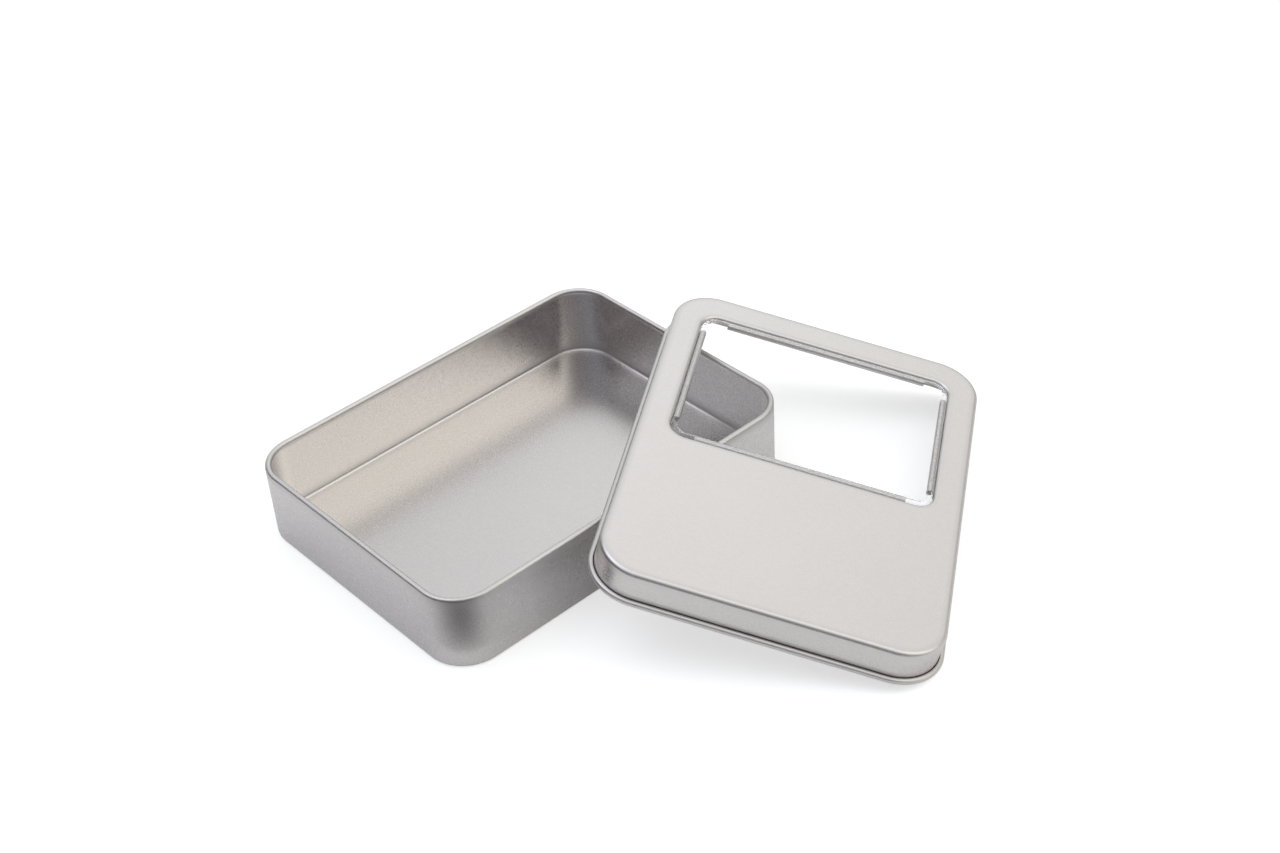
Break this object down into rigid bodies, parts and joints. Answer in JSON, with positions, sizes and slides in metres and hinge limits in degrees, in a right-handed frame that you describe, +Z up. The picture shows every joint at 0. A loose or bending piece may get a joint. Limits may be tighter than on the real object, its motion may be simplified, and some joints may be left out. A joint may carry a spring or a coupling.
{
  "type": "shallow metal tin with window lid",
  "caption": "Shallow rounded rectangular metal tin with a rolled rim, and its loose slip lid with a clear window, which leans on one corner of the tin.",
  "frame": {"origin": "middle of the tin's flat underside, on the surface that it stands on", "axes": "+X along the tin's long side, +Y along its short side, +Z up out of the open tin"},
  "size_m": [0.1667, 0.1655, 0.0308],
  "materials": {
    "tin_plate": "matte silver tinplate, fine stone finish",
    "lid_plate": "matte silver tinplate, fine stone finish",
    "clear_film": "clear glossy formed plastic film"
  },
  "bodies": {
    "root": {"tin_base": "tin_plate", "lid": "lid_plate", "window_pane": "clear_film"}
  },
  "joints": []
}
